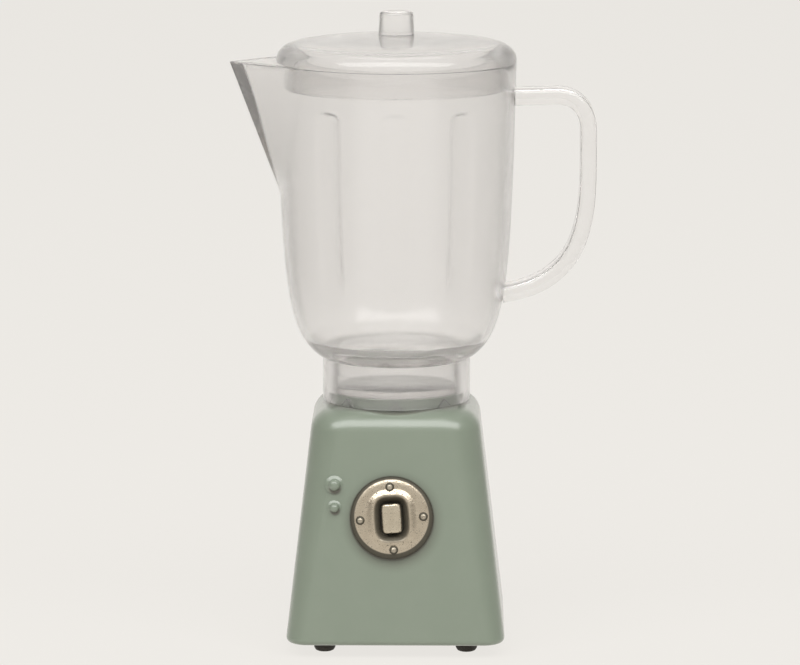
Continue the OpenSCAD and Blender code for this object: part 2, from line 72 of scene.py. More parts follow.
def rounded_square(bm, half, corner, z, segments=10):
    """A closed line round a square with rounded corners, lying at height z."""
    ring = bmesh.ops.create_circle(bm, segments=4, radius=half * math.sqrt(2) * MM,
                                   matrix=Matrix.Translation((0, 0, z * MM))
                                   @ Matrix.Rotation(math.pi / 4, 4, "Z"))["verts"]
    old = set(bm.verts) - set(ring)
    bmesh.ops.bevel(bm, geom=ring, offset=corner * MM, offset_type="OFFSET", segments=segments,
                    profile=0.5, affect="VERTICES", material=-1)
    return [v for v in bm.verts if v not in old]


def edges_of(verts):
    """The edges that run between these vertices."""
    chosen = set(verts)
    return list({e for v in verts for e in v.link_edges if e.other_vert(v) in chosen})


def loft(bm, rings):
    """Skins a row of closed lines that have the same number of points."""
    for low, high in zip(rings, rings[1:]):
        bmesh.ops.bridge_loops(bm, edges=edges_of(low) + edges_of(high))


def turned(outline, steps=96, segments=5):
    """A body turned about Z from an outline of (radius, height, rounding) points."""
    bm = bmesh.new()
    points = [bm.verts.new((r * MM, 0, z * MM)) for r, z, _ in outline]
    for pair in zip(points, points[1:]):
        bm.edges.new(pair)
    for rounding in sorted({r for _, _, r in outline if r}):
        corners = [p for p, (_, _, r) in zip(points, outline) if r == rounding]
        bmesh.ops.bevel(bm, geom=corners, offset=rounding * MM, offset_type="OFFSET",
                        segments=segments, profile=0.5, affect="VERTICES", material=-1)
    bmesh.ops.spin(bm, geom=bm.verts[:] + bm.edges[:], cent=(0, 0, 0), axis=(0, 0, 1),
                   angle=2 * math.pi, steps=steps, use_merge=True)
    bmesh.ops.remove_doubles(bm, verts=bm.verts, dist=1e-7)
    bmesh.ops.recalc_face_normals(bm, faces=bm.faces)
    return bm


def piece_from(bm, name, sharp=35, place=None):
    """Turns a finished bmesh into an object at the origin, its place in its mesh."""
    if place is not None:
        bm.transform(place)
    mesh = bpy.data.meshes.new(name)
    bm.to_mesh(mesh)
    bm.free()
    mesh.shade_smooth()
    mesh.set_sharp_from_angle(angle=math.radians(sharp))
    piece = bpy.data.objects.new(name, mesh)
    bpy.context.scene.collection.objects.link(piece)
    return piece


def apply_modifiers(piece):
    """Gives a piece the mesh that its modifiers make."""
    bpy.context.view_layer.update()
    evaluated = piece.evaluated_get(bpy.context.evaluated_depsgraph_get())
    mesh = bpy.data.meshes.new_from_object(evaluated)
    mesh.name = piece.name
    piece.modifiers.clear()
    piece.data = mesh


def cut_away(piece, cutters, sharp=40):
    """Cuts the cutters out of a piece, removes them and evens the piece's normals."""
    for cutter in cutters:
        cut = piece.modifiers.new("cut", "BOOLEAN")
        cut.operation = "DIFFERENCE"
        cut.solver = "EXACT"
        cut.object = cutter
    apply_modifiers(piece)
    for cutter in cutters:
        bpy.data.objects.remove(cutter)
    # The cuts leave slivers less than a thousandth of a millimetre wide, which are closed.
    bm = bmesh.new()
    bm.from_mesh(piece.data)
    bmesh.ops.remove_doubles(bm, verts=bm.verts, dist=1e-6)
    bmesh.ops.dissolve_degenerate(bm, dist=1e-6, edges=bm.edges)
    bm.to_mesh(piece.data)
    bm.free()
    piece.data.set_sharp_from_angle(angle=math.radians(sharp))
    piece.modifiers.new("even", "WEIGHTED_NORMAL").keep_sharp = True
    apply_modifiers(piece)


def node(tree, kind, inputs=(), **settings):
    """Adds a node, sets it up, and sets or links its inputs."""
    made = tree.nodes.new(kind)
    for key, value in settings.items():
        setattr(made, key, value)
    for socket, value in dict(inputs).items():
        if isinstance(value, bpy.types.NodeSocket):
            tree.links.new(value, made.inputs[socket])
        else:
            made.inputs[socket].default_value = value
    return made


def group(name, inputs, outputs):
    """A new shader node group; inputs are (name, type, default) and outputs (name, type)."""
    tree = bpy.data.node_groups.new(name, "ShaderNodeTree")
    for label, kind, default in inputs:
        socket = tree.interface.new_socket(label, in_out="INPUT", socket_type=kind)
        if default is not None:
            socket.default_value = default
    for label, kind in outputs:
        tree.interface.new_socket(label, in_out="OUTPUT", socket_type=kind)
    return tree, node(tree, "NodeGroupInput"), node(tree, "NodeGroupOutput")


def use(tree, shared, inputs):
    """Places a shared node group in a material."""
    placed = node(tree, "ShaderNodeGroup", node_tree=shared)
    for socket, value in inputs.items():
        if isinstance(value, bpy.types.NodeSocket):
            tree.links.new(value, placed.inputs[socket])
        else:
            placed.inputs[socket].default_value = value
    return placed


def finish_named(name):
    """A new material with one Principled shader, and its tree and shader."""
    material = bpy.data.materials.new(name)
    material.use_nodes = True
    tree = material.node_tree
    return material, tree, tree.nodes["Principled BSDF"]


FLOAT, COLOUR, VECTOR = "NodeSocketFloat", "NodeSocketColor", "NodeSocketVector"

# Two grains on one surface: a broad cloudy one for its colour and a fine one for its relief.
GRAIN, grain_in, grain_out = group(
    "grain", [("Vector", VECTOR, None), ("Broad", FLOAT, 150.0), ("Fine", FLOAT, 1200.0)],
    [("Cloud", FLOAT), ("Relief", FLOAT)])
broad = node(GRAIN, "ShaderNodeTexNoise", {"Vector": grain_in.outputs["Vector"],
                                           "Scale": grain_in.outputs["Broad"], "Detail": 3.0})
fine = node(GRAIN, "ShaderNodeTexNoise", {"Vector": grain_in.outputs["Vector"],
                                          "Scale": grain_in.outputs["Fine"], "Detail": 2.0})
GRAIN.links.new(broad.outputs["Fac"], grain_out.inputs["Cloud"])
GRAIN.links.new(fine.outputs["Fac"], grain_out.inputs["Relief"])


def local_to(tree, place):
    """Object coordinates turned into those of a place on the front face, in metres."""
    back = place.inverted()
    where = node(tree, "ShaderNodeTexCoord").outputs["Object"]
    return node(tree, "ShaderNodeMapping", {"Vector": where, "Location": back.to_translation(),
                                            "Rotation": back.to_euler()},
                vector_type="POINT").outputs["Vector"]


def ramp(tree, value, low, high, first=0.0, last=1.0):
    """A smooth step of a value between two limits."""
    return node(tree, "ShaderNodeMapRange", {"Value": value, "From Min": low, "From Max": high,
                                             "To Min": first, "To Max": last},
                interpolation_type="SMOOTHSTEP").outputs["Result"]


def blend_colours(tree, share, first, second):
    """Mixes two colours by a share from 0 to 1."""
    mix = node(tree, "ShaderNodeMix", data_type="RGBA")
    for socket, value in ((mix.inputs[0], share), (mix.inputs[6], first), (mix.inputs[7], second)):
        if isinstance(value, bpy.types.NodeSocket):
            tree.links.new(value, socket)
        else:
            socket.default_value = value
    return mix.outputs[2]


def maths(tree, operation, first, second=0.0):
    """One maths node."""
    return node(tree, "ShaderNodeMath", {0: first, 1: second}, operation=operation).outputs[0]


# Painted shade under a piece on the front face: a round mask with a soft edge, lying a
# little below the middle of that piece, that darkens the paint where shade falls.
SHADE_SPOT, shade_in, shade_out = group(
    "painted_shade_spot", [("Vector", VECTOR, None), ("Centre", VECTOR, None), ("Inner", FLOAT, 0.0),
                     ("Outer", FLOAT, 0.0), ("Amount", FLOAT, 0.5)], [("Mask", FLOAT)])
away = node(SHADE_SPOT, "ShaderNodeVectorMath", {0: shade_in.outputs["Vector"],
                                              1: shade_in.outputs["Centre"]}, operation="SUBTRACT")
away = node(SHADE_SPOT, "ShaderNodeVectorMath", {0: away.outputs[0], 1: (1, 1, 0)},
            operation="MULTIPLY")
away = node(SHADE_SPOT, "ShaderNodeVectorMath", {0: away.outputs[0]}, operation="LENGTH")
soft = ramp(SHADE_SPOT, away.outputs["Value"], shade_in.outputs["Inner"], shade_in.outputs["Outer"], 1.0,
            0.0)
SHADE_SPOT.links.new(maths(SHADE_SPOT, "MULTIPLY", soft, shade_in.outputs["Amount"]),
                  shade_out.inputs["Mask"])


def sage(name, green):
    """Satin enamel of this green; its tree, shader and the green before any painted shade."""
    material, tree, shader = finish_named(name)
    place = node(tree, "ShaderNodeTexCoord").outputs["Object"]
    grain = use(tree, GRAIN, {"Vector": place, "Broad": 220.0, "Fine": 1500.0})
    cloudy = blend_colours(tree, ramp(tree, grain.outputs["Cloud"], 0.3, 0.7),
                           (green[0] * 0.97, green[1] * 0.975, green[2] * 0.97, 1), green)
    tree.links.new(cloudy, shader.inputs["Base Color"])
    tree.links.new(ramp(tree, grain.outputs["Relief"], 0.3, 0.7, 0.34, 0.42),
                   shader.inputs["Roughness"])
    shader.inputs["Coat Weight"].default_value = 1.0
    shader.inputs["Coat Roughness"].default_value = 0.2
    peel = node(tree, "ShaderNodeBump", {"Height": grain.outputs["Relief"], "Strength": 0.06,
                                         "Distance": 0.0002})
    tree.links.new(peel.outputs["Normal"], shader.inputs["Normal"])
    return material, tree, shader, cloudy


enamel, tree, shader, cloudy = sage("sage_enamel", GREEN)
from_switch = local_to(tree, ON_SWITCH)
from_stud = local_to(tree, on_front(STUD_X, STUD_HIGH_Z))
# Painted shadow on the enamel round the switch plate, lying lower than the plate, and a thin ring
# of painted contact shade just outside its rim.
painted_shade = use(tree, SHADE_SPOT, {"Vector": from_switch, "Centre": (0.0001, -0.0005, 0), "Inner": 5.0 * MM,
                           "Outer": 7.1 * MM, "Amount": 0.42}).outputs["Mask"]
line = use(tree, SHADE_SPOT, {"Vector": from_switch, "Centre": (0, -0.0001, 0), "Inner": 5.42 * MM,
                           "Outer": 5.85 * MM, "Amount": 0.9}).outputs["Mask"]
painted_shade = maths(tree, "MAXIMUM", painted_shade, line)
# Painted shadow: a dark crescent on the paint under each stud's dome.
for centre, size in ((0.0, 1.0), (-2.98, 0.8)):
    under = use(tree, SHADE_SPOT, {"Vector": from_stud,
                                "Centre": (0.0001, (centre - 0.52 * size) * MM, 0),
                                "Inner": 0.5 * size * MM, "Outer": 1.0 * size * MM, "Amount": 0.95})
    dome = use(tree, SHADE_SPOT, {"Vector": from_stud, "Centre": (0, (centre + 0.08 * size) * MM, 0),
                               "Inner": 0.62 * size * MM, "Outer": 0.9 * size * MM, "Amount": 1.0})
    crescent = maths(tree, "MULTIPLY", under.outputs["Mask"],
                     maths(tree, "SUBTRACT", 1.0, dome.outputs["Mask"]))
    painted_shade = maths(tree, "MAXIMUM", painted_shade, crescent)
# The masks so far reach through the whole body, so they are kept to the front face.
depth = node(tree, "ShaderNodeSeparateXYZ", {"Vector": from_switch}).outputs["Z"]
painted_shade = maths(tree, "MULTIPLY", painted_shade, ramp(tree, depth, -4.0 * MM, -3.0 * MM))
# Painted contact shade on the deck in the corner round the foot of the jug's collar.
around = use(tree, SHADE_SPOT, {"Vector": node(tree, "ShaderNodeTexCoord").outputs["Object"],
                             "Centre": (0, 0, 0), "Inner": 9.80 * MM, "Outer": 9.93 * MM,
                             "Amount": 0.55})
painted_shade = maths(tree, "MAXIMUM", painted_shade, around.outputs["Mask"])
# The painted shade masks blend the enamel towards dark brown.
tree.links.new(blend_colours(tree, painted_shade, cloudy, (0.085, 0.078, 0.055, 1)),
               shader.inputs["Base Color"])

bm = bmesh.new()
foot_ring = rounded_square(bm, 14.504, 2.95, HOUSING_EDGE_Z)
deck_ring = rounded_square(bm, 10.923, 5.22, HOUSING_DECK_Z)
loft(bm, [foot_ring, deck_ring])
bmesh.ops.contextual_create(bm, geom=edges_of(deck_ring))
underside = bmesh.ops.contextual_create(bm, geom=edges_of(foot_ring))["faces"]
deck_edges = edges_of(deck_ring)
bmesh.ops.bevel(bm, geom=deck_edges, offset=2.668 * MM, offset_type="OFFSET", segments=14,
                profile=0.5, affect="EDGES", material=-1)
low_edges = [e for e in bm.edges if all(abs(v.co.z - HOUSING_EDGE_Z * MM) < 1e-6 for v in e.verts)]
bmesh.ops.bevel(bm, geom=low_edges, offset=0.787 * MM, offset_type="OFFSET", segments=6,
                profile=0.5, affect="EDGES", material=-1)
bmesh.ops.recalc_face_normals(bm, faces=bm.faces)
underside = [f for f in bm.faces if f.normal.z < -0.999]
bmesh.ops.inset_region(bm, faces=underside, thickness=0.42 * MM, use_even_offset=True)
hollow = bmesh.ops.extrude_face_region(bm, geom=underside)["geom"]
bmesh.ops.delete(bm, geom=underside, context="FACES_ONLY")
roof = [v for v in hollow if isinstance(v, bmesh.types.BMVert)]
share = (half_width(HOUSING_DECK_Z - HOUSING_WALL) - HOUSING_WALL) / 13.3
bmesh.ops.scale(bm, verts=roof, vec=(share, share, 1))
bmesh.ops.translate(bm, verts=roof, vec=(0, 0,
                                         (HOUSING_DECK_Z - HOUSING_WALL - HOUSING_EDGE_Z) * MM))
bmesh.ops.bevel(bm, geom=edges_of(roof), offset=0.9 * MM, offset_type="OFFSET", segments=4,
                profile=0.5, affect="EDGES", material=-1)
housing = piece_from(bm, "housing", 40)

seat_cut = turned([(0, 1, 0), (5.475, 1, 0), (5.475, -0.2, 0), (3.63, -0.2, 0), (3.63, -3, 0),
                   (0, -3, 0)], 96)
cutters = [piece_from(seat_cut, "cut_plate", 35, ON_SWITCH)]
for x, z, pad in ((STUD_X, STUD_HIGH_Z, 2.3), (STUD_X, STUD_LOW_Z, 1.85)):
    stud_cut = turned([(0, 1, 0), (pad / 2, 1, 0), (pad / 2, -0.2, 0), (0.43, -0.2, 0),
                       (0.43, -3, 0), (0, -3, 0)], 48)
    cutters.append(piece_from(stud_cut, "cut_stud", 35, on_front(x, z)))
for i in range(4):
    rivet_cut = turned([(0, -0.1, 0), (0.33, -0.1, 0), (0.33, -3, 0), (0, -3, 0)], 24)
    cutters.append(piece_from(rivet_cut, "cut_rivet", 35,
                              ON_SWITCH @ Matrix.Rotation(i * math.pi / 2, 4, "Z")
                              @ Matrix.Translation((0, RIVET_RING_R * MM, 0))))
stem_cut = turned([(0, 34, 0), (1.53, 34, 0), (1.53, 30, 0), (0, 30, 0)], 48)
cutters.append(piece_from(stem_cut, "cut_stem", 35))
cut_away(housing, cutters)
housing.data.materials.append(enamel)
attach(housing, "base")
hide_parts("base_housing")


# ---- Studs ----
# Two domed studs beside the switch, in the colour of the housing. Each has a pad with a
# smaller dome on it, and a shank that a push-on steel clip holds behind the wall.
def stud(name, z, pad, cad_node):
    dome = pad * 0.36
    bm = turned([(0, -2.2, 0), (0.4, -2.2, 0.1), (0.4, -0.17, 0), (pad / 2, -0.17, 0),
                 (pad / 2, 0.003, 0), (pad / 2 + 0.13, 0.003, 0), (pad / 2 - 0.2, 0.19, 0.08),
                 (dome * 1.03, 0.23, 0.03), (dome, 0.42, 0.08),
                 (dome * 0.87, 0.36 + dome * 0.43, 0.12),
                 (dome * 0.5, 0.36 + dome * 0.74, 0.1), (0, 0.36 + dome * 0.86, 0)], 48)
    piece = piece_from(bm, name, 60, on_front(STUD_X, z))
    piece.data.materials.append(enamel)
    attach(piece, "base")
    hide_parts(cad_node)


stud("stud_upper", STUD_HIGH_Z, 2.2, "upper_stud")
stud("stud_lower", STUD_LOW_Z, 1.75, "lower_stud")


# ---- Fixings ----
# Zinc plated steel: the two screws of the base plate, the screw that holds the jug's seat,
# the clips of the studs and the button's spring. All are out of sight inside the base.
steel, tree, shader = finish_named("plated_steel")
place = node(tree, "ShaderNodeTexCoord").outputs["Object"]
grain = use(tree, GRAIN, {"Vector": place, "Broad": 700.0, "Fine": 5000.0})
tree.links.new(blend_colours(tree, grain.outputs["Cloud"], (0.42, 0.42, 0.40, 1),
                             (0.62, 0.61, 0.58, 1)),
               shader.inputs["Base Color"])
tree.links.new(ramp(tree, grain.outputs["Relief"], 0.3, 0.7, 0.28, 0.42),
               shader.inputs["Roughness"])
shader.inputs["Metallic"].default_value = 1.0
for name in ("base_plate_screws", "seat_screw", "stud_clips", "button_spring"):
    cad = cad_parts[name]
    cad.data.materials.clear()
    cad.data.materials.append(steel)


# ---- Switch plate ----
# A cast disc of nickel silver with a raised lip round the button's opening. It is darkened
# with patina and rubbed bright again, so the recesses and the rim stay nearly black; the rim's dark
# band is drawn wider towards the bottom as painted shade.
# How far a point lies from the middle of a rounded oblong, as a share of its half size.
OBLONG, oblong_in, oblong_out = group(
    "oblong_reach", [("Vector", VECTOR, None), ("Half Width", FLOAT, 1.0),
                     ("Half Height", FLOAT, 1.0)],
    [("Reach", FLOAT)])
sides = node(OBLONG, "ShaderNodeSeparateXYZ", {"Vector": oblong_in.outputs["Vector"]})
cubes = [maths(OBLONG, "POWER", maths(OBLONG, "DIVIDE",
                                      maths(OBLONG, "ABSOLUTE", sides.outputs[axis]),
                                      oblong_in.outputs[half]), 3.0)
         for axis, half in (("X", "Half Width"), ("Y", "Half Height"))]
OBLONG.links.new(maths(OBLONG, "POWER", maths(OBLONG, "ADD", *cubes), 1 / 3),
                 oblong_out.inputs["Reach"])

# Old nickel: bright and worn where the mask is 0, dull brown where it is 1; the mask carries patina
# and, on the plate's rim, painted shade.
PATINA_AND_SHADE, patina_shade_in, patina_shade_out = group(
    "patina", [("Mask", FLOAT, 0.0), ("Grain", FLOAT, 0.5), ("Relief", FLOAT, 0.5),
               ("Low", COLOUR, None), ("High", COLOUR, None)],
    [("Color", COLOUR), ("Roughness", FLOAT), ("Metallic", FLOAT)])
bright = blend_colours(PATINA_AND_SHADE, patina_shade_in.outputs["Grain"], patina_shade_in.outputs["Low"],
                       patina_shade_in.outputs["High"])
PATINA_AND_SHADE.links.new(blend_colours(PATINA_AND_SHADE, patina_shade_in.outputs["Mask"], bright, (0.070, 0.062, 0.043, 1)),
                 patina_shade_out.inputs["Color"])
worn = ramp(PATINA_AND_SHADE, patina_shade_in.outputs["Relief"], 0.3, 0.7, 0.26, 0.40)
PATINA_AND_SHADE.links.new(maths(PATINA_AND_SHADE, "ADD", worn, maths(PATINA_AND_SHADE, "MULTIPLY", patina_shade_in.outputs["Mask"],
                                                  0.28)),
                 patina_shade_out.inputs["Roughness"])
PATINA_AND_SHADE.links.new(maths(PATINA_AND_SHADE, "SUBTRACT", 1.0,
                       maths(PATINA_AND_SHADE, "MULTIPLY", patina_shade_in.outputs["Mask"], 0.9)),
                 patina_shade_out.inputs["Metallic"])


def old_nickel(name, mask_of, low, high):
    """A material of old nickel; mask_of gives the mask of patina, and of any painted shade, in its
    tree.
    """
    material, tree, shader = finish_named(name)
    spot = local_to(tree, ON_SWITCH)
    grain = use(tree, GRAIN, {"Vector": spot, "Broad": 1000.0, "Fine": 4400.0})
    pits = ramp(tree, grain.outputs["Relief"], 0.61, 0.69, 0.0, 0.7)
    mask = maths(tree, "MAXIMUM", mask_of(tree, spot), pits)
    finish = use(tree, PATINA_AND_SHADE, {"Mask": mask, "Grain": grain.outputs["Cloud"],
                                "Relief": grain.outputs["Relief"], "Low": low, "High": high})
    tree.links.new(finish.outputs["Color"], shader.inputs["Base Color"])
    tree.links.new(finish.outputs["Roughness"], shader.inputs["Roughness"])
    tree.links.new(finish.outputs["Metallic"], shader.inputs["Metallic"])
    cast = node(tree, "ShaderNodeBump", {"Height": grain.outputs["Relief"], "Strength": 0.25,
                                         "Distance": 0.00015})
    tree.links.new(cast.outputs["Normal"], shader.inputs["Normal"])
    return material


def plate_patina_and_shade(tree, spot):
    """Patina on the rim and in the hollow inside the lip; the rim's band is widened towards the
    bottom as painted shade.
    """
    parts = node(tree, "ShaderNodeSeparateXYZ", {"Vector": spot})
    flat = node(tree, "ShaderNodeVectorMath", {0: spot, 1: (1, 1, 0)}, operation="MULTIPLY")
    reach = node(tree, "ShaderNodeVectorMath", {0: flat.outputs[0]},
                 operation="LENGTH").outputs["Value"]
    # Painted shade: the rim's dark band reaches further in towards the bottom of the plate.
    lower = maths(tree, "SUBTRACT", reach, maths(tree, "MULTIPLY", parts.outputs["Y"], 0.045))
    rim = ramp(tree, lower, 4.78 * MM, 4.98 * MM)
    within = use(tree, OBLONG, {"Vector": spot, "Half Width": 2.25 * MM, "Half Height": 3.05 * MM})
    hollow = ramp(tree, within.outputs["Reach"], 1.10, 0.92)
    return maths(tree, "MAXIMUM", rim, maths(tree, "MULTIPLY", hollow, 0.9))


nickel = old_nickel("antique_nickel", plate_patina_and_shade, (0.50, 0.43, 0.33, 1), (0.66, 0.58, 0.46, 1))


def oblong(bm, width, height, power, z, segments=96):
    """A closed line between an oval and a rounded oblong, lying at height z."""
    ring = bmesh.ops.create_circle(bm, segments=segments, radius=1.0)["verts"]
    for v in ring:
        c, s = v.co.x, v.co.y
        v.co = (math.copysign(abs(c) ** (2 / power), c) * width / 2 * MM,
                math.copysign(abs(s) ** (2 / power), s) * height / 2 * MM, z * MM)
    return ring


bm = bmesh.new()
plate_rings = [oblong(bm, w, h, p, z) for w, h, p, z in (
    (10.85, 10.85, 2, -0.17), (10.85, 10.85, 2, 0.40), (10.78, 10.78, 2, 0.55),
                                                         (10.52, 10.52, 2, 0.69),
    (10.12, 10.12, 2, 0.80), (9.7, 9.7, 2, 0.87), (9.2, 9.4, 2, 0.91), (8.2, 8.8, 2.1, 0.94),
    (7.2, 8.2, 2.3, 0.95), (6.8, 7.9, 2.5, 0.96), (6.5, 7.65, 2.65, 0.985), (6.2, 7.4, 2.8, 1.05),
    (5.85, 7.1, 2.9, 1.14), (5.5, 6.78, 3.0, 1.235), (5.2, 6.5, 3.1, 1.31),
                                                         (4.95, 6.22, 3.2, 1.345),
    (4.65, 5.95, 3.35, 1.33),
    (4.4, 5.65, 3.6, 1.2), (4.1, 5.35, 3.9, 0.98), (3.8, 5.1, 4.2, 0.72), (3.45, 4.75, 4.6, 0.42),
    (3.12, 4.44, 5, 0.2), (3.0, 4.32, 5, 0.08), (3.0, 4.32, 5, -0.17))]
loft(bm, plate_rings)
bmesh.ops.bridge_loops(bm, edges=edges_of(plate_rings[0]) + edges_of(plate_rings[-1]))
bmesh.ops.recalc_face_normals(bm, faces=bm.faces)
plate = piece_from(bm, "switch_disc", 50, ON_SWITCH)
holes = []
for i in range(4):
    hole = turned([(0, 2, 0), (0.33, 2, 0), (0.33, -1, 0), (0, -1, 0)], 24)
    holes.append(piece_from(hole, "cut_rivet", 35,
                            ON_SWITCH @ Matrix.Rotation(i * math.pi / 2, 4, "Z")
                            @ Matrix.Translation((0, RIVET_RING_R * MM, 0))))
cut_away(plate, holes)
plate.data.materials.append(nickel)
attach(plate, "base")
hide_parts("switch_plate")


# ---- Rivets ----
# Four small round-headed rivets hold the plate on the housing. Patina stays in the ring
# round each head and the rubbed crown of the head is bright.
def rivet_dirt(tree, spot):
    """Patina on all but the crown of the heads."""
    height = node(tree, "ShaderNodeSeparateXYZ", {"Vector": spot}).outputs["Z"]
    return ramp(tree, height, 1.37 * MM, 1.24 * MM)


rivet_finish = old_nickel("rivet_nickel", rivet_dirt, (0.42, 0.37, 0.29, 1), (0.58, 0.52, 0.42, 1))
bm = bmesh.new()
rivet = turned([(0, -1.9, 0), (0.3, -1.9, 0.06), (0.3, 0.90, 0), (0.6, 0.90, 0), (0.57, 1.04, 0.05),
                (0.45, 1.22, 0.1), (0.24, 1.36, 0.1), (0, 1.40, 0)], 32)
rivet_mesh = bpy.data.meshes.new("rivet")
rivet.to_mesh(rivet_mesh)
rivet.free()
for i in range(4):
    before = set(bm.verts)
    bm.from_mesh(rivet_mesh)
    bmesh.ops.transform(bm, verts=[v for v in bm.verts if v not in before],
                        matrix=Matrix.Rotation(i * math.pi / 2, 4, "Z")
                        @ Matrix.Translation((0, RIVET_RING_R * MM, 0)))
rivets = piece_from(bm, "rivets", 60, ON_SWITCH)
rivets.data.materials.append(rivet_finish)
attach(rivets, "base")
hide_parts("plate_rivets")


# ---- Button ----
# The push button: an oblong cast pad with a rubbed face, on a round flange that keeps it
# behind the plate. It slides in a black plastic cup with a spring under it.
bm = bmesh.new()
pad_rings = [oblong(bm, w, h, p, z, 64) for w, h, p, z in (
    (2.55, 3.87, 7, -0.2), (2.55, 3.87, 7, 1.02), (2.51, 3.83, 7, 1.16), (2.40, 3.72, 7, 1.27),
    (2.22, 3.54, 7, 1.33), (1.9, 3.2, 7, 1.345), (1.1, 2.2, 5, 1.35))]
loft(bm, pad_rings)
bmesh.ops.contextual_create(bm, geom=edges_of(pad_rings[-1]))
flange = [oblong(bm, d, d, 2, z, 64) for d, z in ((5.96, -0.2), (5.96, -0.9))]
loft(bm, [pad_rings[0]] + flange)
bmesh.ops.contextual_create(bm, geom=edges_of(flange[-1]))
bmesh.ops.recalc_face_normals(bm, faces=bm.faces)
button = piece_from(bm, "push_button", 50, ON_SWITCH)


def button_dirt(tree, spot):
    """Patina on the sides of the pad, below its rubbed edge."""
    height = node(tree, "ShaderNodeSeparateXYZ", {"Vector": spot}).outputs["Z"]
    return ramp(tree, height, 1.18 * MM, 0.9 * MM)


button_finish = old_nickel("button_nickel", button_dirt, (0.54, 0.47, 0.36, 1),
                           (0.74, 0.66, 0.52, 1))
button.data.materials.append(button_finish)
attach(button, "button")
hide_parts("switch_button")

black, tree, shader = finish_named("black_plastic")
place = node(tree, "ShaderNodeTexCoord").outputs["Object"]
grain = use(tree, GRAIN, {"Vector": place, "Broad": 400.0, "Fine": 3000.0})
tree.links.new(blend_colours(tree, grain.outputs["Cloud"], (0.035, 0.034, 0.033, 1),
                             (0.055, 0.053, 0.05, 1)),
               shader.inputs["Base Color"])
tree.links.new(ramp(tree, grain.outputs["Relief"], 0.3, 0.7, 0.45, 0.6), shader.inputs["Roughness"])
mould = node(tree, "ShaderNodeBump", {"Height": grain.outputs["Relief"], "Strength": 0.2,
                                      "Distance": 0.0001})
tree.links.new(mould.outputs["Normal"], shader.inputs["Normal"])
for name in ("button_guide", "base_plate"):
    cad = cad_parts[name]
    cad.data.materials.clear()
    cad.data.materials.append(black)


# ---- Feet ----
# Four turned feet of black rubber. Each is pushed through the base plate and held by the
# bulb on its stem.
rubber, tree, shader = finish_named("black_rubber")
place = node(tree, "ShaderNodeTexCoord").outputs["Object"]
grain = use(tree, GRAIN, {"Vector": place, "Broad": 600.0, "Fine": 3500.0})
tree.links.new(blend_colours(tree, grain.outputs["Cloud"], (0.040, 0.034, 0.027, 1),
                             (0.075, 0.066, 0.054, 1)),
               shader.inputs["Base Color"])
tree.links.new(ramp(tree, grain.outputs["Relief"], 0.3, 0.7, 0.55, 0.75),
               shader.inputs["Roughness"])
dusty = node(tree, "ShaderNodeBump", {"Height": grain.outputs["Relief"], "Strength": 0.3,
                                      "Distance": 0.0001})
tree.links.new(dusty.outputs["Normal"], shader.inputs["Normal"])
for name, x, y in (("front_left", -9.4, -9.4), ("front_right", 9.4, -9.4),
                   ("rear_left", -9.4, 9.4), ("rear_right", 9.4, 9.4)):
    bm = turned([(0, 0, 0), (0.7, 0, 0), (0.96, 0.03, 0), (1.2, 0.14, 0), (1.38, 0.42, 0),
                 (1.47, 0.75, 0),
                 (1.5, 1.2, 0), (1.5, 1.97, 0.08), (0.6, 1.97, 0), (0.6, 3.23, 0),
                 (0.95, 3.23, 0.05),
                 (0.95, 3.6, 0.1), (0.4, 4.3, 0.1), (0, 4.3, 0)], 64)
    foot = piece_from(bm, "foot_rubber_" + name, 40, Matrix.Translation((x * MM, y * MM, 0)))
    foot.data.materials.append(rubber)
    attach(foot, "base")
    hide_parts("foot_" + name)


# ---- Seat of the jug ----
# A low turned disc, enamelled in a lighter copy of the housing's green as painted light in the
# shade under the jug. Its stem goes down through the deck and is held from inside by a screw, and
# the collar of the jug drops over it.
bm = turned([(0, 31.23, 0), (1.5, 31.23, 0), (1.5, 32.33, 0), (8.4, 32.33, 0), (8.4, 33.76, 0.2),
             (7.2, 33.76, 0.06), (7.2, 33.56, 0.05), (0, 33.56, 0)], 128)
seat = piece_from(bm, "seat_disc", 50)
screw_cut = turned([(0, 32.83, 0), (0.83, 32.83, 0), (0.83, 31, 0), (0, 31, 0)], 48)
cut_away(seat, [piece_from(screw_cut, "cut_screw", 35)])
# Painted light: this green is lighter than the housing's to make up for the shade under the jug.
seat_enamel_painted_lighter = sage("seat_enamel_painted_lighter", (0.34, 0.39, 0.315, 1))[0]
seat.data.materials.append(seat_enamel_painted_lighter)
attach(seat, "base")
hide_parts("jug_seat")


# ---- Jug ----
# Moulded in one shot of clear acrylic: a stepped collar, a round bowl and a nearly straight
# side with ribs inside, pulled out to a V-shaped spout. The plastic has a faint warm cast.
clear, tree, shader = finish_named("clear_acrylic")
shader.inputs["Base Color"].default_value = (0.985, 0.978, 0.975, 1)
shader.inputs["Transmission Weight"].default_value = 0.94
shader.inputs["IOR"].default_value = 1.49
place = node(tree, "ShaderNodeTexCoord").outputs["Object"]
grain = use(tree, GRAIN, {"Vector": place, "Broad": 90.0, "Fine": 2600.0})
tree.links.new(ramp(tree, grain.outputs["Relief"], 0.3, 0.7, 0.10, 0.14),
               shader.inputs["Roughness"])
swirl = node(tree, "ShaderNodeTexNoise", {"Vector": place, "Scale": 70.0, "Detail": 0.0})
flow = node(tree, "ShaderNodeBump", {"Height": swirl.outputs["Fac"], "Strength": 0.015,
                                     "Distance": 0.001})
tree.links.new(flow.outputs["Normal"], shader.inputs["Normal"])
tint = node(tree, "ShaderNodeVolumeAbsorption", {"Color": (0.88, 0.865, 0.85, 1), "Density": 60.0})
tree.links.new(tint.outputs["Volume"], tree.nodes["Material Output"].inputs["Volume"])

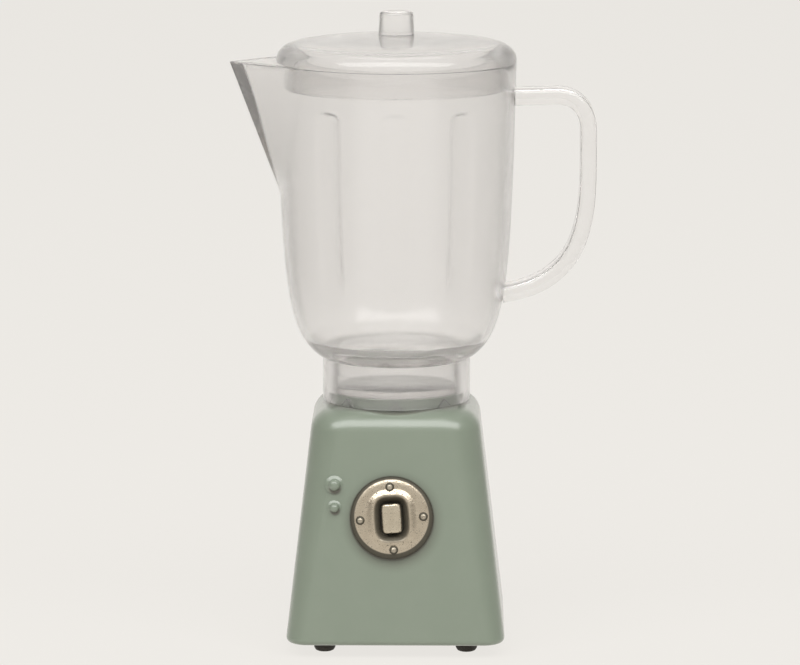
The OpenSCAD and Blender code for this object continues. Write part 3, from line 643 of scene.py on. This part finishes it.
COLLAR_R = 9.8
BOWL_Z = 38.1
RIM_R = 15.866
RIM_Z = 77.5
JUG_WALL = 1.0
SPOUT_ROOT_Z = 60.0
SPOUT_REACH = 22.05
SPOUT_ROOT_R = 15.52


def jug_side(t, inset=0.0):
    """A point on the curve of the jug's side, from the collar at 0 to the rim at 1."""
    controls = ((COLLAR_R, BOWL_Z), (COLLAR_R + 5.2, BOWL_Z + 3), (RIM_R - 0.65, BOWL_Z + 11.1),
                (RIM_R, RIM_Z))
    shares = ((1 - t) ** 3, 3 * t * (1 - t) ** 2, 3 * t * t * (1 - t), t ** 3)
    r = sum(s * c[0] for s, c in zip(shares, controls)) - inset
    z = sum(s * c[1] for s, c in zip(shares, controls))
    return r, z


def radius_of_side(z):
    """Outer radius of the jug at height z."""
    for (r0, z0), (r1, z1) in zip(outside, outside[1:]):
        if z0 <= z <= z1:
            return r0 + (r1 - r0) * (z - z0) / (z1 - z0)
    return outside[-1][0]


# The rows of the inner wall lie closer together where the ribs end below the rim.
RIB_TOP_Z = 72.5
RIB_LOW_Z = 45.5
RIB_FADE_TOP = 1.1
RIB_FADE_LOW = 6.0
outside = [jug_side(i / 64) for i in range(65)]
bowl_rows = [p for p in (jug_side(i / 64, JUG_WALL) for i in range(65)) if 40.9 < p[1] < 55]
wall_heights = ([55.5 + i for i in range(15)] + [70.2 + 0.2 * i for i in range(13)]
                + [72.9, 73.6, 74.5, 75.5, 76.5])
inside = bowl_rows + [(radius_of_side(z) - JUG_WALL, z) for z in wall_heights]
outline = ([(0, 38.4, 0), (7.7, 38.4, 0.12), (7.7, 36.19, 0), (7.85, 36.19, 0), (7.85, 34.69, 0),
            (8.0, 34.69, 0), (8.0, 33.79, 0), (8.9, 33.79, 0), (8.9, 32.4, 0.08),
            (COLLAR_R, 32.4, 0.15)]
           + [(r, z, 0) for r, z in outside[:-1]]
           + [(RIM_R, RIM_Z, 0.15), (RIM_R - JUG_WALL, RIM_Z, 0.15)]
           + [(r, z, 0) for r, z in reversed(inside)]
           + [(inside[0][0] - 0.5, 40.68, 0), (inside[0][0] - 1.3, 40.32, 0),
              (inside[0][0] - 2.4, 40.09, 0),
              (inside[0][0] - 3.6, 40.0, 0), (0, 40.0, 0)])
bm = turned(outline, 360, 3)

# Ribs stand straight ahead and 36 degrees to each side of it, in front and at the back. Each
# pair is the angle from the middle of a rib and the height of the rib there.
RIB_PITCH = math.radians(36)
RIB_SECTION = ((0, 0.45), (1.2, 0.443), (2.4, 0.418), (3.6, 0.368), (4.8, 0.295), (5.9, 0.215),
               (6.9, 0.13), (7.7, 0.062), (8.35, 0.018), (9, 0))
SPOUT_SECTION = (0, 0.3, 0.6, 1.0, 1.6, 2.5, 3.8, 5.4, 7.1, 9)
SPOUT_NOSE = 0.0087
SPOUT_BAND = 2.4


def from_middle(angle, middles):
    """The nearest of these directions, and the signed angle from it."""
    best = min(middles, key=lambda m: abs(math.remainder(angle - m, 2 * math.pi)))
    return best, math.remainder(angle - best, 2 * math.pi)


def eased(share):
    """A share held between 0 and 1, with a soft start and end."""
    share = max(0.0, min(1.0, share))
    return share * share * (3 - 2 * share)


def moulded(v):
    """Gathers the upright rows of points at ribs and spout, and raises the ribs."""
    r, z = math.hypot(v.co.x, v.co.y) / MM, v.co.z / MM
    if r < 1e-6:
        return
    angle = math.atan2(v.co.y, v.co.x)
    if 40.05 < z < 41.2 and r < radius_of_side(z) - JUG_WALL * 0.6:
        v.co.z += (0.04 * math.sin(7 * angle + 1) + 0.03 * math.sin(17 * angle)) * MM
    rib, off = from_middle(angle, [s * math.pi / 2 + k * RIB_PITCH for s in (-1, 1) for k in (-1, 0,
                                                                                              1)])
    tip, aside = from_middle(angle, [math.pi])
    step, beside = round(math.degrees(abs(off))), round(math.degrees(abs(aside)))
    if step < len(RIB_SECTION):
        turned_to, height = RIB_SECTION[step]
        angle = rib + math.copysign(math.radians(turned_to), off)
        if 41 < z < 76 and r < radius_of_side(z) - JUG_WALL * 0.6:
            end = RIB_TOP_Z - 0.6 * (turned_to / 8.35) ** 4
            r -= height * eased((end - z) / RIB_FADE_TOP) * eased((z - RIB_LOW_Z) / RIB_FADE_LOW)
    elif beside < len(SPOUT_SECTION):
        angle = tip + math.copysign(math.radians(SPOUT_SECTION[beside]), aside)
    v.co.x, v.co.y = r * MM * math.cos(angle), r * MM * math.sin(angle)


def stretch(angle, wall, ridge):
    """How many times further out a point lies once the wall is drawn out to the ridge."""
    reach = math.acos(min(1.0, wall / max(wall, ridge)))
    return 1 / math.cos(reach - min(reach, math.hypot(angle, SPOUT_NOSE)))


def pulled_out(v):
    """Moves a point of the wall into the spout: straight flanks from the wall to a ridge."""
    r, z = math.hypot(v.co.x, v.co.y) / MM, v.co.z / MM
    if z < SPOUT_ROOT_Z or r < 12:
        return
    up = (z - SPOUT_ROOT_Z) / (RIM_Z - SPOUT_ROOT_Z)
    wall = SPOUT_ROOT_R + (RIM_R - SPOUT_ROOT_R) * up
    ridge = SPOUT_ROOT_R + (SPOUT_REACH + 0.18 - SPOUT_ROOT_R) * up
    band = JUG_WALL + (SPOUT_BAND - JUG_WALL) * eased(up / 0.9)
    angle = math.atan2(v.co.y, -v.co.x)
    depth = max(0.0, min(1.0, (radius_of_side(z) - r) / JUG_WALL))
    r *= ((1 - depth) * stretch(angle, wall, ridge)
          + depth * stretch(angle, wall - JUG_WALL, ridge - band))
    v.co.x, v.co.y = -r * MM * math.cos(angle), r * MM * math.sin(angle)


for v in bm.verts:
    moulded(v)
for v in bm.verts:
    pulled_out(v)

# Eight three-cornered lugs inside the collar grip the edge of the seat.
for i in range(8):
    lug = bmesh.ops.create_cone(bm, cap_ends=True, segments=3, radius1=1, radius2=1,
                                depth=1)["verts"]
    bmesh.ops.scale(bm, verts=lug, vec=(2.0 / math.sqrt(3) * MM, 0.95 / 1.5 * MM, 0.40 * MM))
    bmesh.ops.rotate(bm, verts=lug, matrix=Matrix.Rotation(math.pi / 2, 3, "X"))
    bmesh.ops.translate(bm, verts=lug, vec=(0, -8.63 * MM, (32.5 + 0.95 / 3) * MM))
    bmesh.ops.rotate(bm, verts=lug, matrix=Matrix.Rotation(i * math.pi / 4, 3, "Z"))
jug = piece_from(bm, "jug_body", 22)
jug.data.materials.append(clear)
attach(jug, "jug")
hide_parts("jug")


# ---- Collar disc ----
# A plain clear disc, cemented in the collar from below. It closes the collar and stands on
# the seat.
bm = turned([(0, 33.80, 0), (7.97, 33.80, 0.05), (7.97, 34.66, 0.05), (0, 34.66, 0)], 128)
disc = piece_from(bm, "disc_in_collar", 40)
disc.data.materials.append(clear)
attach(disc, "jug")
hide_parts("collar_disc")


# ---- Jug handle ----
# A bent bar of the same clear acrylic, welded to the jug's wall near the rim and at the
# bowl. Its section is an oblong with well rounded edges.
def bent(points, t):
    """A point on a curve with four control points."""
    shares = ((1 - t) ** 3, 3 * t * (1 - t) ** 2, 3 * t * t * (1 - t), t ** 3)
    return sum((s * Vector(p) for s, p in zip(shares, points)), Vector((0, 0)))


handle_top = 72.9
handle_back = Vector((25.4, 68.4))
handle_corner = Vector((20.6, 73.05))
handle_root = Vector((14.0, 46.6))
handle_belly = Vector((26.3, 48.5))
path = ([Vector((15.6, handle_top)), Vector((17.5, 72.95)), Vector((19.2, 73.0))]
        + [bent((handle_corner, handle_corner + Vector((2.88, 0.2)),
                 handle_back + Vector((-0.1, 3.375)),
                 handle_back), i / 32) for i in range(33)]
        + [bent((handle_back, handle_back - Vector((0, 10.1)), handle_belly, handle_root), i / 64)
           for i in range(1, 65)])
places = []
for i, spot in enumerate(path):
    ahead = (path[min(i + 1, len(path) - 1)] - path[max(i - 1, 0)]).normalized()
    places.append(Matrix(((0, -ahead.y, ahead.x, spot.x * MM), (1, 0, 0, 0),
                          (0, ahead.x, ahead.y, spot.y * MM), (0, 0, 0, 1))))
bm = bmesh.new()
ring = bmesh.ops.create_circle(bm, segments=4, radius=math.sqrt(2) / 2)["verts"]
bmesh.ops.transform(bm, verts=ring, matrix=Matrix.Rotation(math.pi / 4, 4, "Z"))
bmesh.ops.scale(bm, verts=ring, vec=(5.0 * MM, 2.12 * MM, 1))
bmesh.ops.bevel(bm, geom=ring, offset=0.7 * MM, offset_type="OFFSET", segments=6, profile=0.5,
                affect="VERTICES", material=-1)
bm.transform(places[0])
edges = bm.edges[:]
bmesh.ops.contextual_create(bm, geom=edges)
for before, after in zip(places, places[1:]):
    drawn = bmesh.ops.extrude_edge_only(bm, edges=edges)["geom"]
    edges = [g for g in drawn if isinstance(g, bmesh.types.BMEdge)
             and all(v in drawn for v in g.verts) and len(g.link_faces) == 1]
    bmesh.ops.transform(bm, verts=[g for g in drawn if isinstance(g, bmesh.types.BMVert)],
                        matrix=after @ before.inverted())
bmesh.ops.contextual_create(bm, geom=edges)
bmesh.ops.recalc_face_normals(bm, faces=bm.faces)
handle = piece_from(bm, "handle_bar", 50)
handle.data.materials.append(clear)
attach(handle, "jug")
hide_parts("jug_handle")


# ---- Lid ----
# A clear moulded cover with a slightly domed crown, a rolled edge that rests on the jug's
# rim, and a plug skirt that goes down into its mouth.
bm = turned([(2.15, 80.9, 0), (2.57, 80.9, 0.05), (5.0, 80.86, 0), (8.0, 80.68, 0),
             (11.0, 80.37, 0),
             (14.0, 79.95, 0.8), (15.3, 79.3, 0.7), (15.866, 78.2, 0.5), (15.866, 77.53, 0.1),
             (14.67, 77.53, 0.05),
             (14.67, 74.0, 0.45), (13.67, 74.0, 0.2), (13.67, 78.9, 0.5), (11.0, 79.37, 0),
             (8.0, 79.68, 0),
             (5.0, 79.86, 0), (2.15, 79.9, 0), (2.15, 80.9, 0)], 256, 8)
lid = piece_from(bm, "lid_cover", 40)
lid.data.materials.append(clear)
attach(lid, "lid")
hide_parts("lid")


# ---- Lid knob ----
# A short turned knob of clear acrylic, cemented in the crown of the lid by its plug.
bm = turned([(0, 79.48, 0), (2.12, 79.48, 0.45), (2.12, 80.93, 0), (2.37, 80.93, 0.04),
             (2.2, 84.13, 0.4), (0, 84.13, 0)], 96)
knob = piece_from(bm, "knob_turned", 40)
knob.data.materials.append(clear)
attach(knob, "lid")
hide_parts("lid_knob")


# ---- Table, backdrop, lights and camera ----
# A plain pale table that runs into a backdrop of the same colour, one broad soft light
# from above the camera, and the camera where the photograph was taken.
PALE = (0.855, 0.831, 0.791, 1.0)
BESIDE = (0.38, 0.367, 0.345, 1)

bm = bmesh.new()
bmesh.ops.create_circle(bm, cap_ends=True, segments=64, radius=3.0)
table = piece_from(bm, "table")
table_finish, tree, shader = finish_named("pale_table")
tree.nodes.remove(shader)
paths = node(tree, "ShaderNodeLightPath")
bent_ray = maths(tree, "MAXIMUM", paths.outputs["Is Glossy Ray"],
                 paths.outputs["Is Transmission Ray"])
seen = maths(tree, "MAXIMUM", paths.outputs["Is Camera Ray"], bent_ray)
spot = node(tree, "ShaderNodeTexCoord").outputs["Object"]
far = node(tree, "ShaderNodeVectorMath", {0: spot}, operation="LENGTH").outputs["Value"]
ahead = node(tree, "ShaderNodeSeparateXYZ",
             {"Vector": node(tree, "ShaderNodeVectorMath", {0: spot},
                             operation="NORMALIZE").outputs[0]})
off_side = ramp(tree, maths(tree, "ABSOLUTE", ahead.outputs["Y"]), 0.88, 0.62)
off_side = maths(tree, "MULTIPLY", off_side, ramp(tree, far, 0.08, 0.22))
fading = blend_colours(tree, maths(tree, "MULTIPLY", off_side, bent_ray), PALE, BESIDE)
matt = node(tree, "ShaderNodeBsdfDiffuse", {"Color": PALE})
glow = node(tree, "ShaderNodeEmission", {"Color": fading})
shown = node(tree, "ShaderNodeMixShader", {0: maths(tree, "MULTIPLY", seen, 0.92),
                                           1: matt.outputs[0],
                                           2: glow.outputs[0]})
tree.links.new(shown.outputs[0], tree.nodes["Material Output"].inputs["Surface"])
table.data.materials.append(table_finish)

world = bpy.data.worlds.new("studio")
bpy.context.scene.world = world
world.use_nodes = True
tree = world.node_tree
background = tree.nodes["Background"]
paths = node(tree, "ShaderNodeLightPath")
towards = node(tree, "ShaderNodeSeparateXYZ",
               {"Vector": node(tree, "ShaderNodeTexCoord").outputs["Generated"]})
beside = ramp(tree, maths(tree, "ABSOLUTE", towards.outputs["X"]), 0.50, 0.85)
room = blend_colours(tree, beside, (0.62, 0.603, 0.572, 1), BESIDE)
room = blend_colours(tree, ramp(tree, towards.outputs["Y"], 0.62, 0.88), room, PALE)
direct = paths.outputs["Is Camera Ray"]
seen = maths(tree, "MAXIMUM", direct, maths(tree, "MAXIMUM", paths.outputs["Is Glossy Ray"],
                                            paths.outputs["Is Transmission Ray"]))
tree.links.new(blend_colours(tree, seen, (0.30, 0.30, 0.29, 1),
                             blend_colours(tree, direct, room, PALE)),
               background.inputs["Color"])

key_data = bpy.data.lights.new("key", "AREA")
key_data.shape = "RECTANGLE"
key_data.size, key_data.size_y = 1.7, 0.5
key_data.energy = 10.0
key = bpy.data.objects.new("key", key_data)
key.location = (0.0, -0.46, 0.70)
key.rotation_euler = (Vector((0, 0, 0.04)) - key.location).to_track_quat("-Z", "Y").to_euler()
bpy.context.scene.collection.objects.link(key)

camera_data = bpy.data.cameras.new("camera")
camera_data.sensor_width = 36.0
camera_data.lens = 202.5
camera_data.clip_end = 10.0
camera = bpy.data.objects.new("camera", camera_data)
azimuth, elevation = math.radians(0.7), math.radians(9.6)
back = Vector((math.sin(azimuth) * math.cos(elevation), -math.cos(azimuth) * math.cos(elevation),
               math.sin(elevation)))
camera.location = Vector((0.47, 0, 41.2)) * MM + back * 0.6
camera.rotation_euler = (-back).to_track_quat("-Z", "Y").to_euler()
bpy.context.scene.collection.objects.link(camera)
bpy.context.scene.camera = camera
scene = bpy.context.scene
scene.view_settings.view_transform = "Standard"
scene.cycles.max_bounces = 32
scene.cycles.glossy_bounces = 32
scene.cycles.transmission_bounces = 32
